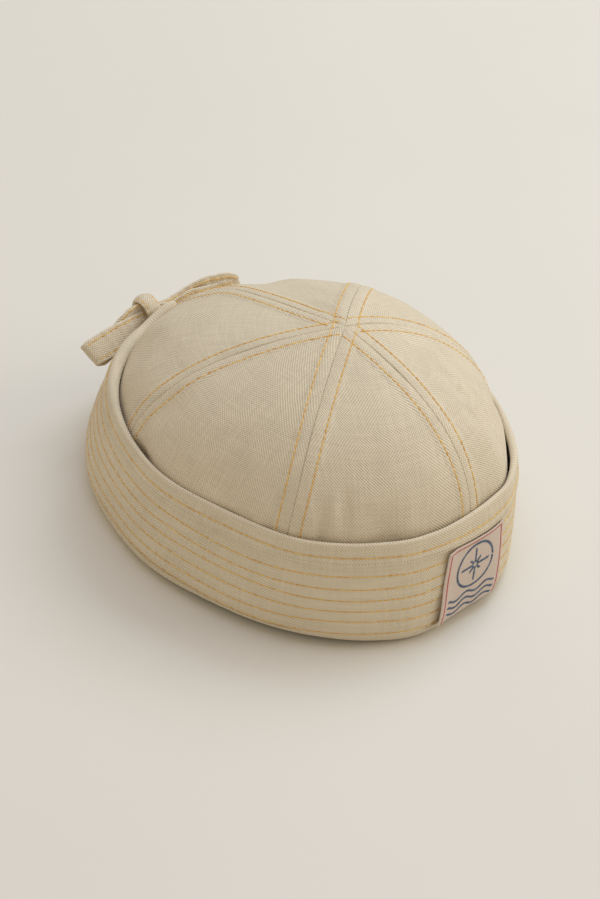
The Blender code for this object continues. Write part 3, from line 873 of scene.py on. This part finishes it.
def make_label(ground, red, navy):
    """The woven label: a patch with a red border line, and a ring, a star and waves in it."""
    width = np.linspace(-0.5, 0.5, 61)[None, :] * LABEL_WIDTH
    down = np.linspace(1.0, 0.0, 65)[:, None] * LABEL_LENGTH
    face = label_point(width + 0.0 * down, down + 0.0 * width)
    flat = np.stack(np.broadcast_arrays(width, -down), -1)
    label = cloth_sheet("label_patch", face, LABEL_THICKNESS, flat, ground, soft_edges="lrbt")
    inset = 2.0 * MM
    side = LABEL_WIDTH / 2.0 - inset
    low = LABEL_LENGTH - 1.0 * MM
    run = np.linspace(0.0, 1.0, 80)
    border = [on_label(-side + 0.0 * run, low + (inset - low) * run),
              on_label(-side + 2.0 * side * run, inset + 0.0 * run),
              on_label(side + 0.0 * run, inset + (low - inset) * run)]
    line = sew("label_border", border, red, 0.6 * MM, pitch=0.5 * MM, length=0.95 * MM, lift=0.02 * MM,
               dip=0.1 * MM, slant=math.pi / 2.0, height=0.5)
    motif = make_motif(navy)
    for piece in (label, line, motif):
        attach(piece, "root")
    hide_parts("label")


def make_motif(navy):
    """A ring with an eight-pointed star in it, and three waves below."""
    turn = np.linspace(0.0, 2.0 * np.pi, 200)
    centre_y, radius = 15.0 * MM, 10.6 * MM
    lines = [on_label(radius * np.cos(turn), centre_y + radius * np.sin(turn))]
    for arm in range(8):
        heading = arm * np.pi / 4.0
        reach = np.linspace(0.8, 8.4 if arm % 2 == 0 else 4.6, 40) * MM
        lines.append(on_label(reach * np.cos(heading), centre_y + reach * np.sin(heading)))
    across = np.linspace(-14.0, 14.0, 120) * MM
    for level in (29.0, 32.4, 35.8):
        lines.append(on_label(across, level * MM + 1.2 * MM * np.sin(across / (1.9 * MM))))
    return sew("label_motif", lines, navy, 0.7 * MM, pitch=0.72 * MM, length=1.8 * MM, lift=0.03 * MM,
               dip=0.12 * MM, slant=math.radians(50.0), height=0.6)


# Bow


STRAP_WIDTH = 13.0 * MM
STRAP_THICKNESS = 1.3 * MM
STRAP_STITCH = 0.68
GATHER = 0.35 * MM
STITCH_GROOVE = 0.16 * MM
KNOT_CENTRE = np.array((2.0, 100.8, 51.8)) * MM
KNOT_RADII = (5.6 * MM, 5.5 * MM)
KNOT_HALF_WIDTH = 3.85 * MM
KNOT_FLAT_WIDTH = 10.1 * MM
KNOT_SWELL = 1.6 * MM
LOOPS = (
    ("bow_loop_near", "bow_loop_left", (
        # upper edge x, y and z mm, width mm, lean and skew of the strap deg
        (3.0, 102.5, 55.0, 6.5, 25.0, 0.0),
        (-3.1, 103.2, 55.6, 6.5, 25.0, -8.0),
        (-7.0, 103.5, 55.2, 7.0, 25.0, -12.0),
        (-12.2, 103.5, 53.2, 8.5, 26.0, -16.0),
        (-18.7, 103.5, 50.3, 10.5, 28.0, -18.0),
        (-25.2, 103.5, 49.0, 12.0, 30.0, -20.0),
        (-31.7, 103.5, 48.4, 13.0, 32.0, -20.0),
        (-36.2, 103.2, 49.3, 12.4, 34.0, -19.0),
        (-37.6, 102.0, 50.8, 11.4, 36.0, -17.0),
        (-37.4, 100.4, 52.8, 12.0, 38.0, -15.0),
        (-35.4, 100.0, 54.1, 12.6, 38.0, -14.0),
        (-31.3, 100.0, 54.4, 13.0, 38.0, -14.0),
        (-26.0, 100.0, 54.5, 13.0, 36.0, -14.0),
        (-20.9, 100.0, 54.4, 12.0, 34.0, -14.0),
        (-15.0, 100.0, 53.9, 10.5, 32.0, -13.0),
        (-8.2, 100.0, 53.2, 8.5, 32.0, -12.0),
        (-0.8, 99.7, 52.3, 6.5, 34.0, -8.0),
        (5.0, 99.5, 50.5, 5.5, 34.0, 0.0),
    )),
    ("bow_loop_far", "bow_loop_right", (
        (1.0, 100.0, 52.0, 4.5, 20.0, 0.0),
        (9.5, 99.0, 52.0, 5.5, 20.0, 0.0),
        (16.5, 98.5, 50.0, 8.5, 15.0, 0.0),
        (26.0, 97.0, 51.8, 11.5, 20.0, 0.0),
        (36.5, 94.0, 51.0, 13.0, 26.0, 0.0),
        (44.5, 90.3, 52.0, 13.0, 26.0, 0.0),
        (48.3, 89.0, 51.3, 12.0, 24.0, 0.0),
        (49.2, 89.8, 51.9, 11.6, 22.0, 0.0),
        (47.3, 91.3, 53.6, 12.0, 22.0, 0.0),
        (44.0, 93.5, 54.4, 13.0, 24.0, -4.0),
        (40.0, 96.0, 54.0, 13.0, 26.0, -8.0),
        (36.0, 98.0, 53.9, 13.0, 26.0, -12.0),
        (31.5, 99.5, 53.0, 12.5, 18.0, -16.0),
        (25.5, 101.0, 51.6, 11.0, 18.0, -16.0),
        (17.5, 101.5, 50.6, 8.5, 16.0, -12.0),
        (11.5, 102.0, 50.8, 6.5, 12.0, -6.0),
        (3.0, 102.5, 53.0, 5.0, 0.0, 0.0),
    )),
)
TAILS = (
    # name, node, start x, end x, end height mm, slant of the cut end mm
    ("bow_tail_near", "bow_tail_left", -1.6, -13.0, 11.0, 2.0),
    ("bow_tail_far", "bow_tail_right", 7.6, 17.0, 14.0, -1.6),
)
TAIL_TOP = 47.0 * MM
TAIL_GAP = 0.5 * MM


def strap_rows():
    """Places across the strap, -1 to 1, close together at its edges and its stitching."""
    half = np.array((0.0, 0.12, 0.25, 0.38, 0.5, 0.6, STRAP_STITCH, 0.75, 0.82, 0.9, 0.96, 0.99, 1.0))
    return np.concatenate([-half[:0:-1], half])


def eased(stations, count):
    """A smooth curve through the rows of a table, as count rows."""
    table = np.array(stations)
    table = np.concatenate([2.0 * table[:1] - table[1:2], table, 2.0 * table[-1:] - table[-2:-1]])
    place = np.linspace(0.0, len(stations) - 1.000001, count)
    first = place.astype(int)
    t = (place - first)[:, None]
    p0, p1, p2, p3 = (table[first + step] for step in range(4))
    return 0.5 * (2.0 * p1 + (p2 - p0) * t + (2.0 * p0 - 5.0 * p1 + 4.0 * p2 - p3) * t * t
                  + (3.0 * p1 - p0 - 3.0 * p2 + p3) * t ** 3)


def finish_strap(name, node, face, cotton, thread, flat_width=STRAP_WIDTH, gathers=GATHER):
    """Give a strap its gathers, its wall and a line of stitches near each edge, on both sides."""
    rows = len(face)
    place = strap_rows()[:, None]
    slack = np.clip(1.0 - np.linalg.norm(face[-1] - face[0], axis=-1) / flat_width, 0.0, 1.0)
    along = run_along(face, 1)[rows // 2:rows // 2 + 1]
    normal = normals_of(face)
    relief = gathers * slack * np.cos(1.7 * np.pi * place + 0.8 * np.sin(along / (6.0 * MM)))
    relief = relief - STITCH_GROOVE * np.exp(-((np.abs(place) - STRAP_STITCH) / 0.07) ** 2)
    relief = relief + 0.25 * MM * ripple(along + 0.0 * place, 7.0 * MM, len(name)) * (0.4 + np.abs(place))
    face = face + normal * relief[..., None]
    normal = normals_of(face)
    flat = np.stack(np.broadcast_arrays(along, place * flat_width / 2.0), -1)
    strap = cloth_sheet(f"{name}_strap", face, STRAP_THICKNESS, flat, cotton, soft_edges="lrbt")
    lines = []
    for row in np.flatnonzero(np.abs(place[:, 0]) == STRAP_STITCH):
        lines += [(face[row], normal[row]), (face[row] - normal[row] * STRAP_THICKNESS, -normal[row])]
    stitches = sew(f"{name}_stitching", lines, thread, CUFF_THREAD_WIDTH)
    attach(strap, "root")
    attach(stitches, "root")
    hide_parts(node)


def make_loops(cotton, thread):
    """Each loop: the strap leaves the knot, turns over at its tip and comes back."""
    for name, node, stations in LOOPS:
        curve = eased(stations, 150)
        edge, width = curve[:, :3] * MM, curve[:, 3] * MM
        lean, skew = np.radians(curve[:, 4]), np.radians(curve[:, 5])
        upwards = np.stack([np.sin(skew), np.cos(skew) * np.sin(lean), np.cos(skew) * np.cos(lean)], -1)
        drop = (1.0 - strap_rows()[:, None]) / 2.0 * width
        face = edge - upwards * drop[..., None]
        finish_strap(name, node, face, cotton, thread)


def make_knot(cotton, thread):
    """The knot: the strap wrapped round the loops, gathered and swollen."""
    turn = np.radians(np.linspace(-86.0, 264.0, 120))
    place = strap_rows()[:, None]
    swell = KNOT_SWELL * (1.0 - np.abs(place) ** 2.4)
    x = KNOT_CENTRE[0] + KNOT_HALF_WIDTH * (1.0 + 0.14 * np.sin(turn - 0.5)) * place
    y = KNOT_CENTRE[1] + (KNOT_RADII[0] + swell) * np.cos(turn)
    z = KNOT_CENTRE[2] + (KNOT_RADII[1] + swell) * np.sin(turn)
    face = np.stack(np.broadcast_arrays(x, y, z), -1)
    finish_strap("bow_knot", "bow_knot", face, cotton, thread, flat_width=KNOT_FLAT_WIDTH,
                 gathers=0.0)


def make_tails(cotton, thread):
    """The strap's two free ends, hanging from the knot against the back of the cuff."""
    for name, node, start_x, end_x, end_height, slant in TAILS:
        up = np.linspace(0.0, 1.0, 90)
        place = strap_rows()[:, None]
        low = (end_height + slant * place) * MM
        height = low + (TAIL_TOP - low) * up
        middle = (end_x + (start_x - end_x) * up ** 1.3) * MM
        half = STRAP_WIDTH / 2.0 * (1.0 - 0.5 * ramp(up, 0.55, 1.0))
        x = middle + half * place
        angle = np.pi - np.arcsin(x / BASE_HALF_WIDTH)
        lift = TAIL_GAP + STRAP_THICKNESS + HEM_STEP + 0.9 * MM * (1.0 + np.sin(up * 7.0 + start_x + place))
        face = wall_point(angle, np.maximum(height, BULGE_HEIGHT), -lift)
        face[..., 2] = height
        finish_strap(name, node, face, cotton, thread)


# Stage


CAMERA_AZIMUTH = math.radians(-45.08)
CAMERA_ELEVATION = math.radians(40.02)
CAMERA_DISTANCE = 1.326
CAMERA_TARGET = Vector((-0.00985, -0.01062, 0.0408))
CAMERA_LENS = 121.05


def make_floor(material):
    """A plain pale floor, wide enough for every view."""
    bpy.ops.object.select_all(action='DESELECT')
    bpy.ops.mesh.primitive_plane_add(size=8.0, location=(0.0, 0.0, 0.0))
    floor = bpy.context.object
    floor.name = "floor"
    floor.data.materials.append(material)


def add_light(name, azimuth, elevation, distance, size, power, colour):
    """A square soft box that looks at the cap from an angle."""
    az, el = math.radians(azimuth), math.radians(elevation)
    back = Vector((math.sin(az) * math.cos(el), -math.cos(az) * math.cos(el), math.sin(el)))
    lamp = bpy.data.lights.new(name, 'AREA')
    lamp.shape = 'SQUARE'
    lamp.size = size
    lamp.energy = power
    lamp.color = linear(colour)[:3]
    holder = bpy.data.objects.new(name, lamp)
    holder.location = CAMERA_TARGET + back * distance
    holder.rotation_euler = back.to_track_quat('Z', 'Y').to_euler()
    bpy.context.scene.collection.objects.link(holder)


def make_stage():
    """Camera, lights and world."""
    scene = bpy.context.scene
    back = Vector((math.sin(CAMERA_AZIMUTH) * math.cos(CAMERA_ELEVATION),
                   -math.cos(CAMERA_AZIMUTH) * math.cos(CAMERA_ELEVATION), math.sin(CAMERA_ELEVATION)))
    lens = bpy.data.cameras.new("camera")
    lens.lens = CAMERA_LENS
    lens.clip_start = 0.05
    camera = bpy.data.objects.new("camera", lens)
    camera.location = CAMERA_TARGET + back * CAMERA_DISTANCE
    camera.rotation_euler = back.to_track_quat('Z', 'Y').to_euler()
    scene.collection.objects.link(camera)
    scene.camera = camera
    make_floor(studio_paper())
    add_light("key", 90.0, 55.0, 1.8, 1.0, 12.4, "#E3F2FF")
    add_light("fill", 45.0, 30.0, 1.8, 1.0, 6.6, "#FFFCF5")
    add_light("top", 0.0, 89.0, 1.8, 1.0, 6.0, "#BCD0FF")
    world = bpy.data.worlds.new("studio")
    world.use_nodes = True
    world.node_tree.nodes["Background"].inputs["Color"].default_value = linear("#FFF2D9")
    world.node_tree.nodes["Background"].inputs["Strength"].default_value = 0.56
    scene.world = world
    scene.view_settings.view_transform = 'Standard'


def main():
    """Dress every node of the cap, then set the stage."""
    cotton = cotton_twill()
    thread = sewing_thread()
    crown = make_crown(cotton)
    sew_crown(crown, thread)
    make_cuff(cotton, thread)
    make_label(woven_ground(), figure_yarn("red label yarn", "#A83E3C", "#C9605A"),
               figure_yarn("slate blue label yarn", "#3F4E66", "#66788F"))
    make_loops(cotton, thread)
    make_knot(cotton, thread)
    make_tails(cotton, thread)
    make_stage()


main()
